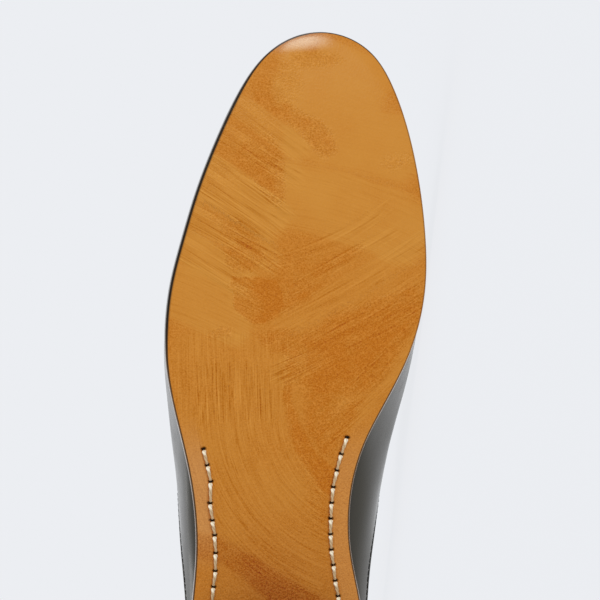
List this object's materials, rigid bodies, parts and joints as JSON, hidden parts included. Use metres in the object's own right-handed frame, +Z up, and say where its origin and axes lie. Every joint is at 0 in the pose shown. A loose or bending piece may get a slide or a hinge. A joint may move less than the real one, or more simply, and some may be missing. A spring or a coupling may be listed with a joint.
{
  "type": "mule loafer",
  "caption": "Backless leather loafer for the right foot, lying on its side: hollow black vamp, tan leather sole with a stitched waist, low heel block and covered insole.",
  "frame": {"origin": "centre of the box on the floor that the shoe lies on", "axes": "+X from heel to toe, -Y the way the sole faces, +Z up to the lateral side"},
  "size_m": [0.258, 0.0732, 0.0821],
  "materials": {
    "sole_leather": "tan, brushed and waxed",
    "heel_stack": "black edge ink, satin",
    "sock_leather": "natural, matt",
    "upper_leather": "black, polished"
  },
  "bodies": {
    "root": {"outsole": "sole_leather", "heel": "heel_stack", "insole": "sock_leather", "upper": "upper_leather"}
  },
  "joints": []
}
